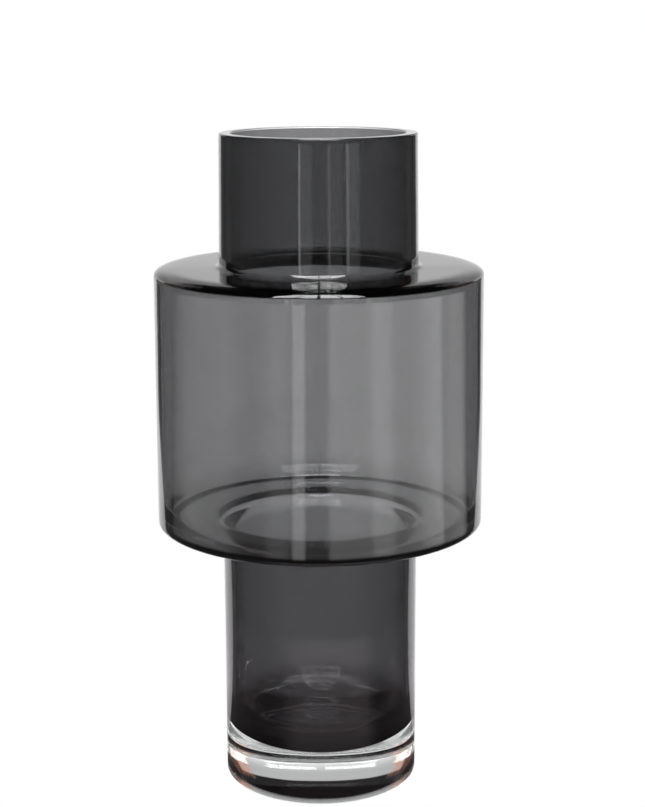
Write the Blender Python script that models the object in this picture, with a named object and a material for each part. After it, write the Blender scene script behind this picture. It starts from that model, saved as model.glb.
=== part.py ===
"""Cased glass cylinder vase: a smoke lining inside a clear casing, on a thick clear base.

Metres, +Z up. The origin is the centre of the underside, in the plane of the ring it stands on.
Three stacked cylinders share one axis: a neck, a wide drum and a foot as narrow as the neck.
Every layer is a turned profile of (r, z) points, swept round the Z axis.
"""

import math

import bmesh
import bpy

MM = 0.001

# Outer size
HEIGHT = 405.0 * MM
NECK_RADIUS_TOP = 59.5 * MM
NECK_RADIUS = 60.5 * MM
SHOULDER_Z = 325.0 * MM
DRUM_RADIUS_TOP = 100.0 * MM
DRUM_RADIUS_LOW = 100.6 * MM
UNDERSIDE_Z = 164.3 * MM
FOOT_RADIUS = 60.3 * MM

# Rounding of the outer surface: a corner's reach along the flat, its height, and how square it is
SHOULDER_CORNER = (13.0 * MM, 5.0 * MM, 2.5)
LOWER_CORNER = (12.0 * MM, 4.5 * MM, 3.0)
FILLET = 3.0 * MM
BASE_EDGE = 2.5 * MM
RIM_EDGE = 0.8 * MM

# Rounding of the inner surface where the drum's wall meets its top and its floor
INNER_TOP_CORNER = (5.0 * MM, 1.6 * MM, 2.0)
INNER_LOW_CORNER = (7.0 * MM, 17.0 * MM, 2.0)

# How much wider than the outer fillet a surface in the glass bends at a root, per depth in the glass
NECK_EASE = 0.35
FOOT_EASE_R = 1.4
FOOT_EASE_Z = 2.4

# Whole thickness of the glass in each zone, and the smoke lining's share of it.
# The roots are the rings of shoulder and underside next to the neck and the foot.
WALL = {
    "neck": 7.0 * MM,
    "shoulder_root": 8.0 * MM,
    "shoulder_edge": 4.2 * MM,
    "drum": 4.8 * MM,
    "under_edge": 3.6 * MM,
    "under_root": 4.2 * MM,
    "foot": 6.6 * MM,
}
LINING = {
    "neck": 1.8 * MM,
    "shoulder_root": 1.8 * MM,
    "shoulder_edge": 1.3 * MM,
    "drum": 1.1 * MM,
    "under_edge": 1.3 * MM,
    "under_root": 1.6 * MM,
    "foot": 1.6 * MM,
}
LAYER_GAP = 0.3 * MM

# Base
WELL_FLOOR_Z = 28.3 * MM
LINING_FLOOR = 1.9 * MM
WELL_CORNER = 28.0 * MM
BASE_TOP_Z = 60.0 * MM
STANDING_RING = 46.0 * MM
UNDERSIDE_RISE = 3.0 * MM

# Facets
TURN_STEPS = 48
BEND_STEPS = 4
UNDERSIDE_STEPS = 5

SMOKE_COLOUR = (0.090, 0.092, 0.098, 1.0)
CLEAR_COLOUR = (0.930, 0.945, 0.940, 1.0)
GLASS_ROUGHNESS = 0.03
GLASS_IOR = 1.50


def clear_scene():
    for obj in list(bpy.data.objects):
        bpy.data.objects.remove(obj, do_unlink=True)


def glass_material(name, colour):
    """A polished glass of one colour."""
    material = bpy.data.materials.new(name)
    material.use_nodes = True
    shader = material.node_tree.nodes["Principled BSDF"]
    shader.inputs["Base Color"].default_value = colour
    shader.inputs["Roughness"].default_value = GLASS_ROUGHNESS
    shader.inputs["Metallic"].default_value = 0.0
    shader.inputs["IOR"].default_value = GLASS_IOR
    shader.inputs["Transmission Weight"].default_value = 1.0
    material.diffuse_color = colour
    return material


def bend(centre, reach_r, reach_z, start, end, square=2.0):
    """Points (r, z) round a quarter of an ellipse, with angles in degrees from the outward direction.

    With square above 2 the curve stays closer to its two tangents.
    """
    points = []
    for step in range(BEND_STEPS + 1):
        angle = math.radians(start + (end - start) * step / BEND_STEPS)
        across = math.copysign(abs(math.cos(angle)) ** (2.0 / square), math.cos(angle))
        along = math.copysign(abs(math.sin(angle)) ** (2.0 / square), math.sin(angle))
        points.append((centre[0] + reach_r * across, centre[1] + reach_z * along))
    return points


def layer_depths(lining_share, gap=0.0):
    """The depth below the outer surface, zone by zone, of a surface in the glass.

    A share of 0 is the glass's inner face, and 1 is the lining's outer face.
    """
    return {zone: WALL[zone] - LINING[zone] * lining_share - gap for zone in WALL}


def casing_depths():
    """The depths of the casing's inner face, one gap outside the lining."""
    return layer_depths(1.0, LAYER_GAP)


def root_reach(ease, depth, gap):
    """How far a surface bends at a root. A surface one gap off another keeps the other's centre."""
    return FILLET + ease * (depth + gap) - gap


def neck_root(depth, gap=0.0):
    """The bend between the neck and the shoulder."""
    reach_r = root_reach(NECK_EASE, depth["neck"], gap)
    reach_z = root_reach(NECK_EASE, depth["shoulder_root"], gap)
    centre = (NECK_RADIUS - depth["neck"] + reach_r, SHOULDER_Z - depth["shoulder_root"] + reach_z)
    return bend(centre, reach_r, reach_z, 180.0, 270.0)


def foot_root(depth, gap=0.0):
    """The bend between the underside and the foot."""
    reach_r = root_reach(FOOT_EASE_R, depth["foot"], gap)
    reach_z = root_reach(FOOT_EASE_Z, depth["under_root"], gap)
    centre = (FOOT_RADIUS - depth["foot"] + reach_r, UNDERSIDE_Z + depth["under_root"] - reach_z)
    return bend(centre, reach_r, reach_z, 90.0, 180.0)


def drum_corners(top, low, top_z, low_z, top_shape, low_shape):
    """The two rounded corners of the drum, from the top inwards edge to the bottom inwards edge."""
    reach_r, reach_z, square = top_shape
    line = bend((top - reach_r, top_z - reach_z), reach_r, reach_z, 90.0, 0.0, square)
    reach_r, reach_z, square = low_shape
    line += bend((low - reach_r, low_z + reach_z), reach_r, reach_z, 0.0, -90.0, square)
    return line


def outer_drum_line():
    """The outer surface from the neck's fillet, over the shoulder and the drum, to the foot's fillet."""
    flush = dict.fromkeys(WALL, 0.0)
    line = neck_root(flush)
    line += drum_corners(
        DRUM_RADIUS_TOP, DRUM_RADIUS_LOW, SHOULDER_Z, UNDERSIDE_Z, SHOULDER_CORNER, LOWER_CORNER
    )
    line += foot_root(flush)
    return line


def inner_drum_line(depth, gap=0.0):
    """The same stretch of a surface inside the glass."""
    line = neck_root(depth, gap)
    line += drum_corners(
        DRUM_RADIUS_TOP - depth["drum"],
        DRUM_RADIUS_LOW - depth["drum"],
        SHOULDER_Z - depth["shoulder_edge"],
        UNDERSIDE_Z + depth["under_edge"],
        INNER_TOP_CORNER,
        INNER_LOW_CORNER,
    )
    line += foot_root(depth, gap)
    return line


def drum_casing_foot():
    """The height at which the drum's casing ends and the foot's begins: the end of its inner bend."""
    return foot_root(casing_depths(), LAYER_GAP)[-1][1]


def turned(name, profile, closed, material):
    """A solid of revolution from a profile of (r, z) points that runs down its outer side."""
    mesh = bpy.data.meshes.new(name)
    form = bmesh.new()
    verts = [form.verts.new((r, 0.0, z)) for r, z in profile]
    for first, second in zip(verts, verts[1:]):
        form.edges.new((first, second))
    if closed:
        form.edges.new((verts[-1], verts[0]))
    form.to_mesh(mesh)
    form.free()
    mesh.materials.append(material)
    obj = bpy.data.objects.new(name, mesh)
    bpy.context.scene.collection.objects.link(obj)
    screw = obj.modifiers.new("Turn", "SCREW")
    screw.axis = "Z"
    screw.angle = math.tau
    screw.steps = TURN_STEPS
    screw.render_steps = TURN_STEPS
    screw.use_merge_vertices = True
    screw.merge_threshold = 0.00001
    screw.use_smooth_shade = True
    return obj


def neck_casing(material):
    """The casing's neck tube, from the cut rim to the top of the fillet on the shoulder."""
    depth = casing_depths()["neck"]
    low_z = SHOULDER_Z + FILLET + LAYER_GAP
    profile = [
        (NECK_RADIUS_TOP - RIM_EDGE, HEIGHT),
        (NECK_RADIUS_TOP, HEIGHT - RIM_EDGE),
        (NECK_RADIUS, low_z),
        (NECK_RADIUS - depth, low_z),
        (NECK_RADIUS_TOP - depth, HEIGHT),
    ]
    return turned("neck_casing", profile, True, material)


def drum_casing(material):
    """The casing's shoulder, drum wall and underside, with the bends to the neck and the foot."""
    depth = casing_depths()
    profile = outer_drum_line()
    profile.append((FOOT_RADIUS, drum_casing_foot()))
    profile += inner_drum_line(depth, LAYER_GAP)[::-1]
    profile.append((NECK_RADIUS - depth["neck"], SHOULDER_Z + FILLET))
    return turned("drum_casing", profile, True, material)


def foot_casing(material):
    """The casing's foot tube, from the bend under the drum to the top of the base."""
    depth = casing_depths()["foot"]
    top_z = drum_casing_foot() - LAYER_GAP
    profile = [
        (FOOT_RADIUS, top_z),
        (FOOT_RADIUS, BASE_TOP_Z),
        (FOOT_RADIUS - depth, BASE_TOP_Z),
        (FOOT_RADIUS - depth, top_z),
    ]
    return turned("foot_casing", profile, True, material)


def well_corner(radius, floor_z, reach):
    """The rounded corner between the foot's wall and the well's floor, from the wall inwards."""
    return bend((radius - reach, floor_z + reach), reach, reach, 0.0, -90.0)


def cup_line(depth, floor_z, reach):
    """One face of the lining, from the rim down to the middle of the well's floor."""
    line = [(NECK_RADIUS_TOP - depth["neck"], HEIGHT)]
    line += inner_drum_line(depth)
    line += well_corner(FOOT_RADIUS - depth["foot"], floor_z, reach)
    line.append((0.0, floor_z))
    return line


def smoke_lining(material):
    """The smoke-coloured inner layer: one open cup from the rim down to the well's floor."""
    inner = cup_line(layer_depths(0.0), WELL_FLOOR_Z, WELL_CORNER)
    outer = cup_line(layer_depths(1.0), WELL_FLOOR_Z - LINING_FLOOR, WELL_CORNER + LINING_FLOOR)
    return turned("smoke_lining", inner[::-1] + outer, False, material)


def underside_line():
    """The shallow hollow under the base, from the ring that it stands on to the middle."""
    line = []
    for step in range(UNDERSIDE_STEPS + 1):
        share = 1.0 - step / UNDERSIDE_STEPS
        line.append((STANDING_RING * share, UNDERSIDE_RISE * (1.0 - share * share)))
    return line


def clear_base(material):
    """The thick clear bottom of the foot, hollowed on top to take the lining's well."""
    seat_z = WELL_FLOOR_Z - LINING_FLOOR - LAYER_GAP
    seat_r = FOOT_RADIUS - casing_depths()["foot"]
    seat = well_corner(seat_r, seat_z, WELL_CORNER + LINING_FLOOR + LAYER_GAP)
    ring_z = BASE_TOP_Z - LAYER_GAP
    profile = [(0.0, seat_z)]
    profile += seat[::-1]
    profile.append((seat_r, ring_z))
    profile.append((FOOT_RADIUS, ring_z))
    profile += bend((FOOT_RADIUS - BASE_EDGE, BASE_EDGE), BASE_EDGE, BASE_EDGE, 0.0, -90.0)
    profile += underside_line()
    return turned("clear_base", profile, False, material)


def main():
    clear_scene()
    smoke = glass_material("smoke_glass", SMOKE_COLOUR)
    clear = glass_material("clear_glass", CLEAR_COLOUR)
    smoke_lining(smoke)
    neck_casing(clear)
    drum_casing(clear)
    foot_casing(clear)
    clear_base(clear)


main()
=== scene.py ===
"""The looks of the cased glass cylinder vase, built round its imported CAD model. Metres, +Z up.

The clear glass is one fused piece with a thick base. The smoke lining lies inside its wall, close
to the inner face. The stage is a white sweep of paper in a dark room, with wood at both sides of
it, and a table and a window on the camera's side.
"""

import math

import bmesh
import bpy
from mathutils import Matrix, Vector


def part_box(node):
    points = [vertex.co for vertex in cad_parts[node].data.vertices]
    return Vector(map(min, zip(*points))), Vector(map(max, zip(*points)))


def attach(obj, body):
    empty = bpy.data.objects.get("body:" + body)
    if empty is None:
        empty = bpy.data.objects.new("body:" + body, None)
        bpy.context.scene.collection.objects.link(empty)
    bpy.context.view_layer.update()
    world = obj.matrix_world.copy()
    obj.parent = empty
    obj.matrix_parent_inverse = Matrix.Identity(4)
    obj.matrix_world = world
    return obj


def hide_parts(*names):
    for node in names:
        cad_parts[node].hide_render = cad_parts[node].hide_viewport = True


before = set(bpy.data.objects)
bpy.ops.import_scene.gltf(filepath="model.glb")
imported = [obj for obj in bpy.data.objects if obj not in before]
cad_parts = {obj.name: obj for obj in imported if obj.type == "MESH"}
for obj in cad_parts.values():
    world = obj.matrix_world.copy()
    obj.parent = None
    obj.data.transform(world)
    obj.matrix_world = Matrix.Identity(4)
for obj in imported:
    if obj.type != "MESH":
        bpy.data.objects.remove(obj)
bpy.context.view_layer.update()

# ---------------------------------------------------------------------------- sizes from the CAD

MM = 0.001

_, NECK_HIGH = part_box("neck_casing")
DRUM_LOW, DRUM_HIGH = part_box("drum_casing")
_, FOOT_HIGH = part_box("foot_casing")
LINING_LOW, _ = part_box("smoke_lining")

# The CAD's drum casing ends at the top of its outer fillet, and this far below the underside
FILLET = 3.0 * MM
CASING_BELOW = 6.64 * MM

# How much the neck narrows to its rim, and the drum to its shoulder, in radius
NECK_TAPER = 1.0 * MM
DRUM_TAPER = 0.6 * MM

HEIGHT = NECK_HIGH.z
NECK_R = NECK_HIGH.x
NECK_TOP_R = NECK_R - NECK_TAPER
SHOULDER_Z = DRUM_HIGH.z - FILLET
DRUM_LOW_R = DRUM_HIGH.x
DRUM_TOP_R = DRUM_LOW_R - DRUM_TAPER
UNDERSIDE_Z = DRUM_LOW.z + CASING_BELOW
FOOT_R = FOOT_HIGH.x

# A root is where the neck or the foot meets the drum. A surface in the glass bends there by the
# fillet's reach and this share of its depth in the glass.
NECK_EASE = 0.35
FOOT_EASE_R = 1.4
FOOT_EASE_Z = 2.4

# A corner's reach along the flat, its height, and how square it is
SHOULDER_CORNER = (13.0 * MM, 5.0 * MM, 2.5)
LOWER_CORNER = (12.0 * MM, 4.5 * MM, 3.0)
INNER_TOP_CORNER = (5.0 * MM, 1.6 * MM, 2.0)
INNER_LOW_CORNER = (7.0 * MM, 17.0 * MM, 2.0)
BASE_EDGE = 2.5 * MM
RIM_EDGE = 0.8 * MM

# Whole thickness of the glass in each zone, and the smoke lining's share of it
WALL = {
    "neck": 7.0 * MM,
    "shoulder_root": 8.0 * MM,
    "shoulder_edge": 4.2 * MM,
    "drum": 4.8 * MM,
    "under_edge": 3.6 * MM,
    "under_root": 4.2 * MM,
    "foot": 6.6 * MM,
}
LINING = {
    "neck": 1.8 * MM,
    "shoulder_root": 1.8 * MM,
    "shoulder_edge": 1.3 * MM,
    "drum": 1.1 * MM,
    "under_edge": 1.3 * MM,
    "under_root": 1.6 * MM,
    "foot": 1.6 * MM,
}

# The clear skin between the inner face and the lining
LINING_SKIN = 0.05 * MM

# The well's floor, and the hollow under the base inside the ring that it stands on
LINING_FLOOR = 1.9 * MM
WELL_FLOOR_Z = LINING_LOW.z + LINING_FLOOR
WELL_CORNER = 28.0 * MM
STANDING_RING = 46.0 * MM
UNDERSIDE_RISE = 3.0 * MM

# Facets, and the length or radius below which a stretch or a ring is a point
TURN_STEPS = 256
BEND_STEPS = 12
RING_STEP = 3.0 * MM
SHORT = 1e-6
ON_AXIS = 1e-7


# ---------------------------------------------------------------------------- profiles

def bend(centre, reach_r, reach_z, start, end, square=2.0):
    """Points (r, z) round a quarter of an ellipse, from one angle to another.

    Angles are in degrees from the outward direction. With square above 2 the curve stays closer
    to its two tangents.
    """
    points = []
    for step in range(BEND_STEPS + 1):
        angle = math.radians(start + (end - start) * step / BEND_STEPS)
        across = math.copysign(abs(math.cos(angle)) ** (2.0 / square), math.cos(angle))
        along = math.copysign(abs(math.sin(angle)) ** (2.0 / square), math.sin(angle))
        points.append((centre[0] + reach_r * across, centre[1] + reach_z * along))
    return points


def filled_in(points):
    """The same line with points added along its straight stretches, at most RING_STEP apart."""
    line = [points[0]]
    for start, end in zip(points, points[1:]):
        length = math.dist(start, end)
        if length < SHORT:
            continue
        count = max(1, math.ceil(length / RING_STEP))
        for step in range(1, count + 1):
            share = step / count
            r = start[0] + (end[0] - start[0]) * share
            z = start[1] + (end[1] - start[1]) * share
            line.append((r, z))
    return line


def layer_depths(lining_share, inset=0.0):
    """The depth below the outer surface, zone by zone, of a surface in the glass.

    A share of 0 is the glass's inner face, and 1 is the lining's outer face.
    """
    return {zone: WALL[zone] - LINING[zone] * lining_share - inset for zone in WALL}


def neck_root(depth):
    """The bend between the neck and the shoulder."""
    reach_r = FILLET + NECK_EASE * depth["neck"]
    reach_z = FILLET + NECK_EASE * depth["shoulder_root"]
    centre = (NECK_R - depth["neck"] + reach_r, SHOULDER_Z - depth["shoulder_root"] + reach_z)
    return bend(centre, reach_r, reach_z, 180.0, 270.0)


def foot_root(depth):
    """The bend between the underside and the foot, wider on the inside than on the outside."""
    reach_r = FILLET + FOOT_EASE_R * depth["foot"]
    reach_z = FILLET + FOOT_EASE_Z * depth["under_root"]
    centre = (FOOT_R - depth["foot"] + reach_r, UNDERSIDE_Z + depth["under_root"] - reach_z)
    return bend(centre, reach_r, reach_z, 90.0, 180.0)


def drum_corners(top_r, low_r, top_z, low_z, top_shape, low_shape):
    """The two rounded corners of the drum, from the shoulder to the underside."""
    reach_r, reach_z, square = top_shape
    line = bend((top_r - reach_r, top_z - reach_z), reach_r, reach_z, 90.0, 0.0, square)
    reach_r, reach_z, square = low_shape
    line += bend((low_r - reach_r, low_z + reach_z), reach_r, reach_z, 0.0, -90.0, square)
    return line


def outer_drum_line():
    """The outer surface, from the neck's fillet over shoulder and drum to the foot's fillet."""
    flush = dict.fromkeys(WALL, 0.0)
    line = neck_root(flush)
    line += drum_corners(
        DRUM_TOP_R,
        DRUM_LOW_R,
        SHOULDER_Z,
        UNDERSIDE_Z,
        SHOULDER_CORNER,
        LOWER_CORNER,
    )
    line += foot_root(flush)
    return line


def inner_drum_line(depth):
    """The same stretch of a surface inside the glass."""
    line = neck_root(depth)
    line += drum_corners(
        DRUM_TOP_R - depth["drum"],
        DRUM_LOW_R - depth["drum"],
        SHOULDER_Z - depth["shoulder_edge"],
        UNDERSIDE_Z + depth["under_edge"],
        INNER_TOP_CORNER,
        INNER_LOW_CORNER,
    )
    line += foot_root(depth)
    return line


def cup_line(depth, floor_z, reach, rim):
    """A face of the cup, from the rim down to the middle of the well's floor."""
    line = rim + inner_drum_line(depth)
    centre = (FOOT_R - depth["foot"] - reach, floor_z + reach)
    line += bend(centre, reach, reach, 0.0, -90.0)
    line.append((0.0, floor_z))
    return line


def underside_line():
    """The shallow hollow under the base, from the ring that it stands on to the middle."""
    line = []
    for step in range(BEND_STEPS + 1):
        share = 1.0 - step / BEND_STEPS
        line.append((STANDING_RING * share, UNDERSIDE_RISE * (1.0 - share * share)))
    return line


def turned(name, profile, material):
    """A solid of revolution from (r, z) points that start and end on the axis."""
    form = bmesh.new()
    points = filled_in(profile)
    rings = []
    for r, z in points:
        if r < ON_AXIS:
            rings.append([form.verts.new((0.0, 0.0, z))])
            continue
        ring = []
        for step in range(TURN_STEPS):
            angle = math.tau * step / TURN_STEPS
            ring.append(form.verts.new((r * math.cos(angle), r * math.sin(angle), z)))
        rings.append(ring)
    for upper, lower in zip(rings, rings[1:]):
        for step in range(TURN_STEPS):
            after = (step + 1) % TURN_STEPS
            if len(upper) == 1:
                corners = (upper[0], lower[step], lower[after])
            elif len(lower) == 1:
                corners = (upper[after], upper[step], lower[0])
            else:
                corners = (upper[after], upper[step], lower[step], lower[after])
            form.faces.new(corners)
    mesh = bpy.data.meshes.new(name)
    form.to_mesh(mesh)
    form.free()
    mesh.shade_smooth()
    mesh.materials.append(material)
    obj = bpy.data.objects.new(name, mesh)
    bpy.context.scene.collection.objects.link(obj)
    return obj


# ---------------------------------------------------------------------------- shader wiring

WHITE = (1.0, 1.0, 1.0, 1.0)


class Wires:
    """Short forms for the nodes of one shader tree."""

    def __init__(self, tree):
        self.nodes = tree.nodes
        self.links = tree.links

    def math(self, operation, *values):
        """The output of a Math node on the values."""
        node = self.nodes.new("ShaderNodeMath")
        node.operation = operation
        for socket, value in zip(node.inputs, values):
            self.put(socket, value)
        return node.outputs[0]

    def put(self, socket, value):
        """A number is set on the socket, and an output is linked to it."""
        if isinstance(value, (int, float)):
            socket.default_value = value
        else:
            self.links.new(value, socket)

    def add(self, first, *others):
        total = first
        for value in others:
            total = self.math("ADD", total, value)
        return total

    def times(self, first, *others):
        product = first
        for value in others:
            product = self.math("MULTIPLY", product, value)
        return product

    def ramp(self, value, low, high, at_low, at_high):
        """A smooth step of value from low to high, going from at_low to at_high."""
        node = self.nodes.new("ShaderNodeMapRange")
        node.interpolation_type = "SMOOTHSTEP"
        self.put(node.inputs["Value"], value)
        node.inputs["From Min"].default_value = low
        node.inputs["From Max"].default_value = high
        node.inputs["To Min"].default_value = at_low
        node.inputs["To Max"].default_value = at_high
        return node.outputs["Result"]

    def noise(self, place, scale, detail=2.0):
        """Soft noise from 0 to 1, with about scale blobs to each unit of place."""
        node = self.nodes.new("ShaderNodeTexNoise")
        node.inputs["Scale"].default_value = scale
        node.inputs["Detail"].default_value = detail
        self.links.new(place, node.inputs["Vector"])
        return node.outputs["Fac"]

    def bump(self, height, depth):
        """A surface normal from a height, of which 1 stands for depth metres."""
        node = self.nodes.new("ShaderNodeBump")
        node.inputs["Distance"].default_value = depth
        self.links.new(height, node.inputs["Height"])
        return node.outputs["Normal"]

    def tint(self, amount, colour):
        """White, going to a colour as amount goes to 1. The colour sockets are found by place."""
        node = self.nodes.new("ShaderNodeMix")
        node.data_type = "RGBA"
        self.put(node.inputs[0], amount)
        node.inputs[6].default_value = WHITE
        node.inputs[7].default_value = colour
        return node.outputs[2]

    def band(self, value, centre, half_width, soft):
        """1 where value is within half_width of centre, falling to 0 over soft beyond it."""
        away = self.math("ABSOLUTE", self.math("SUBTRACT", value, centre))
        return self.ramp(away, half_width, half_width + soft, 1.0, 0.0)


# ---------------------------------------------------------------------------- materials

CLEAR_IOR = 1.58
CLEAR_TINT = (0.55, 0.62, 0.60, 1.0)
CLEAR_DENSITY = 2.0
SMOKE_TINT = (0.10, 0.10, 0.115, 1.0)
SMOKE_DENSITY = 900.0

# Faint streaks in the smoke: their colour, the scale and detail of their noise, and the values of
# that noise between which they grow
SMOKE_STREAK = (0.985, 0.985, 0.99, 1.0)
STREAK_NOISE = (25.0, 3.0)
STREAK_RANGE = (0.35, 0.65)

# Hand-blown waviness: swells to the metre and their height, and ripples to the metre and their
# share of that height
WAVE_SCALE = 14.0
WAVE_DEPTH = 0.16 * MM
RIPPLE_SCALE = 70.0
RIPPLE_SHARE = 0.08

# Seeds are pinhead bubbles: cells to the metre, the share of cells that hold one, its size in a
# cell, and its share of the waviness's height
SEED_SCALE = 110.0
SEED_SHARE = 0.03
SEED_SIZE = 0.10
SEED_HEIGHT = 0.4

# The ground ring under the base is rough up to one height, and the glass is slightly worn up to
# another. Scuffs, a noise with a scale and a detail, break up both.
RING_TOP = 0.4 * MM
RING_ROUGHNESS = 0.45
WORN_TOP = 4.0 * MM
WORN_ROUGHNESS = 0.10
SCUFF_NOISE = (900.0, 4.0)

# The polish varies everywhere: the scale of its noise, the values of that noise between which the
# roughness grows, and the least and most roughness
POLISH_SCALE = 60.0
POLISH_RANGE = (0.55, 0.85)
POLISH_ROUGHNESS = (0.0, 0.012)


def new_material(name):
    """A material with its nodes, and the short forms for them."""
    material = bpy.data.materials.new(name)
    material.use_nodes = True
    return material, Wires(material.node_tree)


def glass_surface(wires, ior):
    """The Principled shader of a colourless glass."""
    shader = wires.nodes["Principled BSDF"]
    shader.inputs["Base Color"].default_value = WHITE
    shader.inputs["IOR"].default_value = ior
    shader.inputs["Transmission Weight"].default_value = 1.0
    return shader


def volume_absorption(wires, colour, density):
    """The colour that the glass gets with its thickness."""
    absorption = wires.nodes.new("ShaderNodeVolumeAbsorption")
    absorption.inputs["Color"].default_value = colour
    absorption.inputs["Density"].default_value = density
    wires.links.new(absorption.outputs["Volume"], wires.nodes["Material Output"].inputs["Volume"])


def wave_height(wires, place):
    """The waviness of hand-blown glass: long swells with faint ripples on them."""
    swell = wires.noise(place, WAVE_SCALE)
    ripple = wires.times(wires.noise(place, RIPPLE_SCALE), RIPPLE_SHARE)
    return wires.add(swell, ripple)


def seed_height(wires, place):
    """Tiny round bumps in a few cells of a cellular pattern."""
    cells = wires.nodes.new("ShaderNodeTexVoronoi")
    cells.inputs["Scale"].default_value = SEED_SCALE
    wires.links.new(place, cells.inputs["Vector"])
    split = wires.nodes.new("ShaderNodeSeparateColor")
    wires.links.new(cells.outputs["Color"], split.inputs["Color"])
    chosen = wires.math("LESS_THAN", split.outputs["Red"], SEED_SHARE)
    dome = wires.ramp(cells.outputs["Distance"], 0.0, SEED_SIZE, SEED_HEIGHT, 0.0)
    return wires.times(dome, chosen)


def clear_glass():
    """Clear glass, wavy and faintly seeded, with a ground ring under the base."""
    material, wires = new_material("clear_glass")
    place = wires.nodes.new("ShaderNodeTexCoord").outputs["Object"]
    shader = glass_surface(wires, CLEAR_IOR)
    height = wires.add(wave_height(wires, place), seed_height(wires, place))
    wires.links.new(wires.bump(height, WAVE_DEPTH), shader.inputs["Normal"])
    split = wires.nodes.new("ShaderNodeSeparateXYZ")
    wires.links.new(place, split.inputs["Vector"])
    scuffs = wires.noise(place, *SCUFF_NOISE)
    polish = wires.ramp(wires.noise(place, POLISH_SCALE), *POLISH_RANGE, *POLISH_ROUGHNESS)
    worn_zone = wires.ramp(split.outputs["Z"], 0.0, WORN_TOP, WORN_ROUGHNESS, 0.0)
    worn = wires.times(worn_zone, scuffs)
    ground_zone = wires.ramp(split.outputs["Z"], 0.0, RING_TOP, RING_ROUGHNESS, 0.0)
    ground = wires.times(ground_zone, scuffs)
    wires.links.new(wires.add(polish, worn, ground), shader.inputs["Roughness"])
    volume_absorption(wires, CLEAR_TINT, CLEAR_DENSITY)
    return material


def smoke_glass():
    """Smoke-grey glass inside the clear glass.

    With an index of 1 its faces neither reflect nor refract, so what shows is its colour.
    """
    material, wires = new_material("smoke_glass")
    place = wires.nodes.new("ShaderNodeTexCoord").outputs["Object"]
    shader = glass_surface(wires, 1.0)
    shader.inputs["Roughness"].default_value = 0.0
    wires.links.new(wires.bump(wave_height(wires, place), WAVE_DEPTH), shader.inputs["Normal"])
    streaks = wires.ramp(wires.noise(place, *STREAK_NOISE), *STREAK_RANGE, 0.0, 1.0)
    wires.links.new(wires.tint(streaks, SMOKE_STREAK), shader.inputs["Base Color"])
    volume_absorption(wires, SMOKE_TINT, SMOKE_DENSITY)
    return material


# ---------------------------------------------------------------------------- the vase

def clear_piece(material):
    """The clear glass, from the well's floor up the inside, over the rim and down the outside."""
    rim_r = NECK_TOP_R - WALL["neck"]
    outer = bend((NECK_TOP_R - RIM_EDGE, HEIGHT - RIM_EDGE), RIM_EDGE, RIM_EDGE, 90.0, 0.0)
    outer += outer_drum_line()
    outer += bend((FOOT_R - BASE_EDGE, BASE_EDGE), BASE_EDGE, BASE_EDGE, 0.0, -90.0)
    outer += underside_line()
    rim = bend((rim_r + RIM_EDGE, HEIGHT - RIM_EDGE), RIM_EDGE, RIM_EDGE, 90.0, 180.0)
    inner = cup_line(layer_depths(0.0), WELL_FLOOR_Z, WELL_CORNER, rim)
    piece = turned("clear_glass_body", inner[::-1] + outer, material)
    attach(piece, "root")
    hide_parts("neck_casing", "drum_casing", "foot_casing", "clear_base")


def lining_piece(material):
    """The smoke lining, which lies in the glass just outside its inner face."""
    top = HEIGHT - RIM_EDGE - LINING_SKIN
    near = layer_depths(0.0, LINING_SKIN)
    far = layer_depths(1.0)
    near_rim = [(NECK_TOP_R - near["neck"], top)]
    far_rim = [(NECK_TOP_R - far["neck"], top)]
    near_line = cup_line(near, WELL_FLOOR_Z - LINING_SKIN, WELL_CORNER + LINING_SKIN, near_rim)
    far_line = cup_line(far, WELL_FLOOR_Z - LINING_FLOOR, WELL_CORNER + LINING_FLOOR, far_rim)
    piece = turned("smoke_lining_glass", near_line[::-1] + far_line, material)
    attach(piece, "root")
    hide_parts("smoke_lining")


# ---------------------------------------------------------------------------- stage

# Angles are in degrees, distances are from the vase's axis, and lights are emission strengths
FLOOR_Z = -0.5 * MM
FLOOR_RADIUS = 12.0
FLOOR_FACETS = 96

# The white backdrop: half its width and the softness of its sides, its top and the softness of
# that, the elevations between which it darkens, and its light at both. The room is dark.
SWEEP_HALF_ANGLE = 45.0
SWEEP_SOFT = 3.0
BACKDROP_TOP = 31.0
BACKDROP_TOP_SOFT = 1.5
BACKDROP_FALL = (0.0, 22.0, 1.0, 0.55)
DARK = 0.015

# White strips of backdrop at both sides: their middles, half width and softness
STRIPS = (45.0, 90.0, 135.0)
STRIP_SHAPE = (9.0, 3.0)

# The window: mullions in its middle and halfway to each side, and level rails at two elevations
WINDOW_HALF_WIDTH = 31.0
WINDOW_LOW = 12.0
WINDOW_HIGH = 78.0
WINDOW_EDGE = 1.0
WINDOW_LIGHT = 11.0
MULLION = 1.2
MIDDLE_MULLION = 2.4
RAIL_HALF = 1.2
WINDOW_RAILS = (24.0, 50.0)
BAR_SOFT = 0.5

# Copper-coloured wood at both sides of the backdrop, seen through the glass: azimuths and
# elevations as middle, half width and softness, its light, and its grain's noise
WOOD = (1.0, 0.36, 0.20, 1.0)
WOOD_AZIMUTH = (63.0, 20.0, 4.0)
WOOD_ELEVATION = (17.0, 17.0, 4.0)
WOOD_LIGHT = 0.35
WOOD_GRAIN = 34.0
GRAIN_RANGE = (0.46, 0.56)

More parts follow.
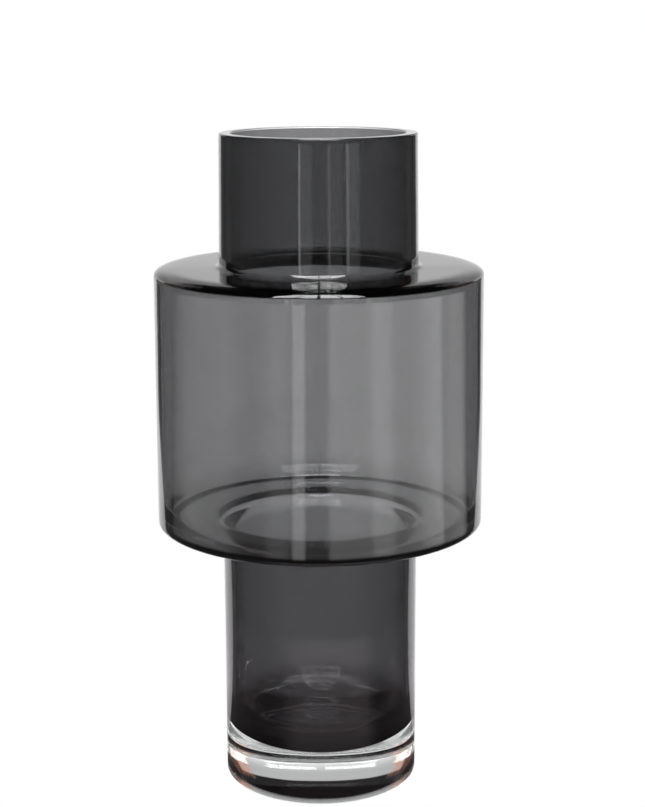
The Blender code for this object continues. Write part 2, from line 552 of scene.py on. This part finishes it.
# Brighter stretches of the table: azimuth from the camera's side, half width, softness, light.
# The table reaches this far, and ends softly over this factor of its reach.
TABLE_BANDS = (
    (-80.0, 12.0, 22.0, 0.5),
    (-27.0, 2.0, 10.0, 0.5),
    (-13.5, 2.5, 3.0, 1.5),
    (48.0, 40.0, 4.0, 0.95),
    (95.0, 10.0, 25.0, 0.8),
    (42.0, 4.0, 7.0, 0.7),
)
TABLE_LIGHT = 0.35
TABLE_REACH = 2.15
TABLE_SOFT = 1.05

# Thin bright things on the floor beyond the table, and the light between them
FAR_BANDS = (
    (-21.5, 0.8, 0.6, 1.6),
    (-15.0, 5.0, 5.0, 0.45),
    (12.0, 0.6, 0.8, 0.6),
    (18.0, 7.0, 4.0, 0.3),
    (33.0, 1.2, 0.8, 0.8),
    (39.0, 7.0, 2.0, 0.5),
)
FAR_LIGHT = 0.03

# The table close to the vase is dimmer and slightly warm, and a shaded ring parts it from the rest
CLOSE_BANDS = ((10.0, 30.0, 24.0, 0.35),)
CLOSE_LIGHT = 0.15
CLOSE_REACH = 0.33
CLOSE_SOFT = 1.1
CLOSE_TINT = (1.0, 0.88, 0.93, 1.0)
SHADE_REACH = 0.55
SHADE_SOFT = 1.15

# How far round the table reaches, as half a width and a softness, and the floor's least light
TABLE_ROUND = (112.0, 12.0)
SIDE_LIGHT = 0.10

# The vase's shade on the floor: the distances between which it fades, and the light in it
CONTACT_SHADE = (0.06, 0.20, 0.32)

# The white paper behind the vase: a near and a far distance, each with half the paper's width as
# an angle, and the softness of its sides
PAPER_NEAR = (0.10, 60.0)
PAPER_FAR = (1.20, 28.0)
PAPER_SOFT = 4.0


def direction_parts(wires, vector):
    """Azimuth in degrees from +Y towards -X, elevation in degrees, and flat distance of a place."""
    split = wires.nodes.new("ShaderNodeSeparateXYZ")
    wires.links.new(vector, split.inputs["Vector"])
    minus_x = wires.math("MULTIPLY", split.outputs["X"], -1.0)
    azimuth = wires.math("DEGREES", wires.math("ARCTAN2", minus_x, split.outputs["Y"]))
    flat_x = wires.math("MULTIPLY", split.outputs["X"], split.outputs["X"])
    flat_y = wires.math("MULTIPLY", split.outputs["Y"], split.outputs["Y"])
    distance = wires.math("SQRT", wires.math("ADD", flat_x, flat_y))
    elevation = wires.math("DEGREES", wires.math("ARCTAN2", split.outputs["Z"], distance))
    return azimuth, elevation, distance


def from_front(wires, azimuth):
    """Degrees of azimuth from the camera's side of the vase, positive towards +X."""
    turned_half = wires.math("ADD", azimuth, 180.0)
    past = wires.math("GREATER_THAN", turned_half, 180.0)
    return wires.math("SUBTRACT", turned_half, wires.math("MULTIPLY", past, 360.0))


def other_backdrops(wires, azimuth):
    """White strips of backdrop behind the vase for someone who walks round it."""
    away = wires.math("ABSOLUTE", azimuth)
    return wires.add(*[wires.band(away, middle, *STRIP_SHAPE) for middle in STRIPS])


def ray_mix(wires, room, extra):
    """White seen directly, the room in reflections, and the room or extra through the glass."""
    path = wires.nodes.new("ShaderNodeLightPath")
    direct = path.outputs["Is Camera Ray"]
    through = wires.times(extra, path.outputs["Is Transmission Ray"])
    seen = wires.math("MAXIMUM", room, through)
    return wires.add(wires.times(seen, wires.math("SUBTRACT", 1.0, direct)), direct)


def window(wires, azimuth, elevation):
    """A window of four columns and three rows of panes, on the camera's side."""
    side = wires.math("ABSOLUTE", from_front(wires, azimuth))
    wide = wires.ramp(side, WINDOW_HALF_WIDTH, WINDOW_HALF_WIDTH + WINDOW_EDGE, 1.0, 0.0)
    middle_z = (WINDOW_LOW + WINDOW_HIGH) / 2.0
    tall = wires.band(elevation, middle_z, (WINDOW_HIGH - WINDOW_LOW) / 2.0, WINDOW_EDGE)
    middle_half = MIDDLE_MULLION / 2.0
    middle = wires.ramp(side, middle_half, middle_half + BAR_SOFT, 0.0, 1.0)
    outer = wires.band(side, WINDOW_HALF_WIDTH / 2.0, MULLION / 2.0, BAR_SOFT)
    panes = wires.math("SUBTRACT", 1.0, outer)
    for height in WINDOW_RAILS:
        rail = wires.band(elevation, height, RAIL_HALF, BAR_SOFT)
        panes = wires.times(panes, wires.math("SUBTRACT", 1.0, rail))
    return wires.times(wide, tall, middle, panes, WINDOW_LIGHT)


def studio_world():
    """The backdrop, the window and the dark room, all as the world's light."""
    world = bpy.data.worlds.new("studio")
    bpy.context.scene.world = world
    world.use_nodes = True
    wires = Wires(world.node_tree)
    direction = wires.nodes.new("ShaderNodeTexCoord").outputs["Generated"]
    azimuth, elevation, _ = direction_parts(wires, direction)
    sweep = wires.band(azimuth, 0.0, SWEEP_HALF_ANGLE, SWEEP_SOFT)
    fall = wires.ramp(elevation, *BACKDROP_FALL)
    high = wires.ramp(elevation, BACKDROP_TOP, BACKDROP_TOP + BACKDROP_TOP_SOFT, 1.0, 0.0)
    sweep_light = wires.times(sweep, fall, high)
    room = wires.add(sweep_light, DARK, window(wires, azimuth, elevation))
    extra = wires.times(other_backdrops(wires, azimuth), fall, high)
    through = wires.nodes.new("ShaderNodeLightPath").outputs["Is Transmission Ray"]
    grain = wires.ramp(wires.noise(direction, WOOD_GRAIN), *GRAIN_RANGE, 0.0, 1.0)
    side = wires.band(wires.math("ABSOLUTE", azimuth), *WOOD_AZIMUTH)
    wood = wires.times(side, wires.band(elevation, *WOOD_ELEVATION), grain, through)
    strength = wires.add(ray_mix(wires, room, extra), wires.times(wood, WOOD_LIGHT))
    background = wires.nodes["Background"]
    wires.links.new(wires.tint(wood, WOOD), background.inputs["Color"])
    wires.links.new(strength, background.inputs["Strength"])


def bands_sum(wires, azimuth, bands, ground):
    """The light of the ground and of all the bands on it."""
    total = ground
    for centre, half_width, soft, light in bands:
        total = wires.add(wires.times(wires.band(azimuth, centre, half_width, soft), light), total)
    return total


def table_light(wires, azimuth, distance):
    """The light of the floor on the camera's side, and how much a place is close to the vase."""
    front = from_front(wires, azimuth)
    near = wires.ramp(distance, TABLE_REACH, TABLE_REACH * TABLE_SOFT, 1.0, 0.0)
    far = wires.math("SUBTRACT", 1.0, near)
    table = wires.times(bands_sum(wires, front, TABLE_BANDS, TABLE_LIGHT), near)
    beyond = wires.times(bands_sum(wires, front, FAR_BANDS, FAR_LIGHT), far)
    open_table = wires.ramp(distance, SHADE_REACH, SHADE_REACH * SHADE_SOFT, 0.0, 1.0)
    close = wires.ramp(distance, CLOSE_REACH, CLOSE_REACH * CLOSE_SOFT, 1.0, 0.0)
    close_light = wires.times(bands_sum(wires, front, CLOSE_BANDS, CLOSE_LIGHT), close)
    in_front = wires.band(front, 0.0, *TABLE_ROUND)
    lit = wires.add(wires.times(wires.add(table, beyond), open_table), close_light)
    return wires.times(lit, in_front), wires.times(close, in_front)


def floor_material():
    """The floor gives its own light: white paper behind the vase, the table elsewhere."""
    material, wires = new_material("floor_paper")
    nodes = wires.nodes
    nodes.remove(nodes["Principled BSDF"])
    place = nodes.new("ShaderNodeNewGeometry").outputs["Position"]
    azimuth, _, distance = direction_parts(wires, place)
    away = wires.math("ABSOLUTE", azimuth)
    edge = wires.ramp(distance, PAPER_NEAR[0], PAPER_FAR[0], PAPER_NEAR[1], PAPER_FAR[1])
    sweep = wires.ramp(wires.math("SUBTRACT", away, edge), 0.0, PAPER_SOFT, 1.0, 0.0)
    front_light, close = table_light(wires, azimuth, distance)
    shade = wires.ramp(distance, *CONTACT_SHADE, 1.0)
    lit_room = wires.times(wires.math("MAXIMUM", sweep, front_light), shade)
    room = wires.math("MAXIMUM", lit_room, SIDE_LIGHT)
    extra = wires.times(other_backdrops(wires, azimuth), shade)
    direct = nodes.new("ShaderNodeLightPath").outputs["Is Camera Ray"]
    warm = wires.times(close, wires.math("SUBTRACT", 1.0, direct))
    emission = nodes.new("ShaderNodeEmission")
    wires.links.new(wires.tint(warm, CLOSE_TINT), emission.inputs["Color"])
    wires.links.new(ray_mix(wires, room, extra), emission.inputs["Strength"])
    surface = nodes["Material Output"].inputs["Surface"]
    wires.links.new(emission.outputs["Emission"], surface)
    return material


def floor_piece():
    """A flat disc just under the vase."""
    mesh = bpy.data.meshes.new("floor")
    form = bmesh.new()
    bmesh.ops.create_circle(form, cap_ends=True, segments=FLOOR_FACETS, radius=FLOOR_RADIUS)
    bmesh.ops.translate(form, verts=form.verts, vec=(0.0, 0.0, FLOOR_Z))
    form.to_mesh(mesh)
    form.free()
    mesh.materials.append(floor_material())
    floor = bpy.data.objects.new("floor", mesh)
    bpy.context.scene.collection.objects.link(floor)


# ---------------------------------------------------------------------------- camera

# In metres from the vase's axis and above the table, degrees, and millimetres of lens and sensor
CAMERA_DISTANCE = 1.0389
CAMERA_HEIGHT = 0.4710
CAMERA_TILT = 12.584
CAMERA_PAN = 0.105
CAMERA_ROLL = -0.2445
LENS = 76.90
LONG_SIDE_MM = 36.0
CLIP_NEAR = 0.01
CLIP_FAR = 100.0

# Light bounces, enough for the many faces of the glass
GLASS_BOUNCES = 32
MIRROR_BOUNCES = 16


def photo_camera():
    """The camera of the photo, as fitted to the vase's outline."""
    data = bpy.data.cameras.new("photo_camera")
    data.sensor_fit = "AUTO"
    data.sensor_width = LONG_SIDE_MM
    data.lens = LENS
    data.clip_start = CLIP_NEAR
    data.clip_end = CLIP_FAR
    camera = bpy.data.objects.new("photo_camera", data)
    bpy.context.scene.collection.objects.link(camera)
    turn = Matrix.Rotation(math.radians(-CAMERA_PAN), 4, "Z")
    tilt = Matrix.Rotation(math.radians(90.0 - CAMERA_TILT), 4, "X")
    roll = Matrix.Rotation(math.radians(CAMERA_ROLL), 4, "Z")
    place = Matrix.Translation((0.0, -CAMERA_DISTANCE, CAMERA_HEIGHT))
    camera.matrix_world = place @ turn @ tilt @ roll
    bpy.context.scene.camera = camera


def render_look():
    """Plain colours, and enough bounces for the glass."""
    scene = bpy.context.scene
    scene.view_settings.view_transform = "Standard"
    scene.view_settings.look = "None"
    scene.cycles.max_bounces = GLASS_BOUNCES
    scene.cycles.transmission_bounces = GLASS_BOUNCES
    scene.cycles.glossy_bounces = MIRROR_BOUNCES


render_look()
photo_camera()
studio_world()
floor_piece()
clear_piece(clear_glass())
lining_piece(smoke_glass())
